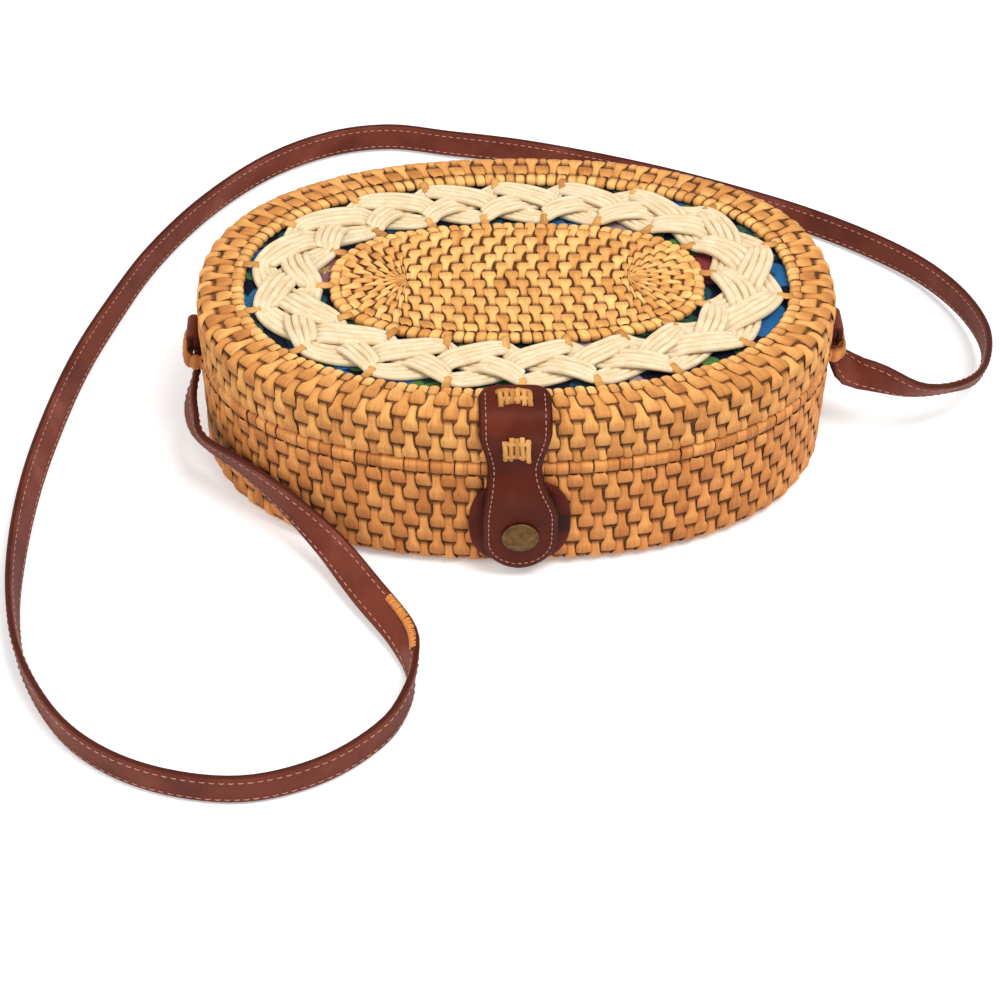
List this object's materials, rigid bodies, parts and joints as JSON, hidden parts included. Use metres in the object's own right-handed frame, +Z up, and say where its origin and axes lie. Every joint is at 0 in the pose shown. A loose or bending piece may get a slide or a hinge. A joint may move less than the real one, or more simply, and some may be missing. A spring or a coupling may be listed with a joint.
{
  "type": "rattan crossbody bag",
  "caption": "Oval woven rattan shoulder bag with a hinged lid, a plaited cord band in the lid, a leather snap tab and a leather strap.",
  "frame": {"origin": "on the resting plane, under the middle of the bag without its strap", "axes": "+X along the long axis, to the right seen from the front; -Y to the front, where the tab closes; +Z up"},
  "size_m": [0.3554, 0.3425, 0.0723],
  "materials": {
    "woven_rattan": "woven natural rattan strands, satin",
    "wrapped_rattan": "hoop wrapped in split rattan, satin",
    "ata_tie": "flat strip of ata vine, satin",
    "leather": "smooth red-brown leather, satin",
    "patch_leather": "smooth dark red-brown leather, satin",
    "plait_cord": "cream cotton cord, matt",
    "lining_cloth": "dark printed cotton, matt",
    "antique_brass": "antique brass, brushed",
    "thread": "orange waxed thread"
  },
  "bodies": {
    "base": {"base_wall": "woven_rattan", "base_floor": "woven_rattan", "base_edge_hoop": "wrapped_rattan", "base_lining_wall": "lining_cloth", "base_lining_floor": "lining_cloth", "closure_patch": "patch_leather", "patch_tie_upper": "ata_tie", "patch_tie_lower": "ata_tie", "snap_stud": "antique_brass", "snap_rivet": "antique_brass", "side_loop_left": "wrapped_rattan", "side_loop_right": "wrapped_rattan", "shoulder_strap": "leather", "strap_end_fold_left": "leather", "strap_end_fold_right": "leather", "strap_join_thread": "thread"},
    "lid": {"lid_shell": "woven_rattan", "lid_edge_hoop": "wrapped_rattan", "rim_inner_hoop": "wrapped_rattan", "lid_medallion": "woven_rattan", "medallion_hoop": "wrapped_rattan", "plait_strand_a": "plait_cord", "plait_strand_b": "plait_cord", "plait_strand_c": "plait_cord", "lid_lining_top": "lining_cloth", "lid_lining_wall": "lining_cloth", "hinge_ring_left": "ata_tie", "hinge_ring_right": "ata_tie", "tab_root": "leather", "tab_tie_upper": "ata_tie", "tab_tie_lower": "ata_tie"},
    "flap": {"tab_flap": "leather", "snap_cap": "antique_brass", "snap_socket": "antique_brass"}
  },
  "joints": [
    {"name": "lid_hinge", "type": "hinge", "parent": "base", "child": "lid", "pos_m": [0, 0.0713, 0.048], "axis": [-1, 0, 0], "range_deg": [0, 110]},
    {"name": "tab_flex", "type": "hinge", "parent": "lid", "child": "flap", "pos_m": [0, -0.0747, 0.049], "axis": [-1, 0, 0], "range_deg": [0, 90]}
  ]
}
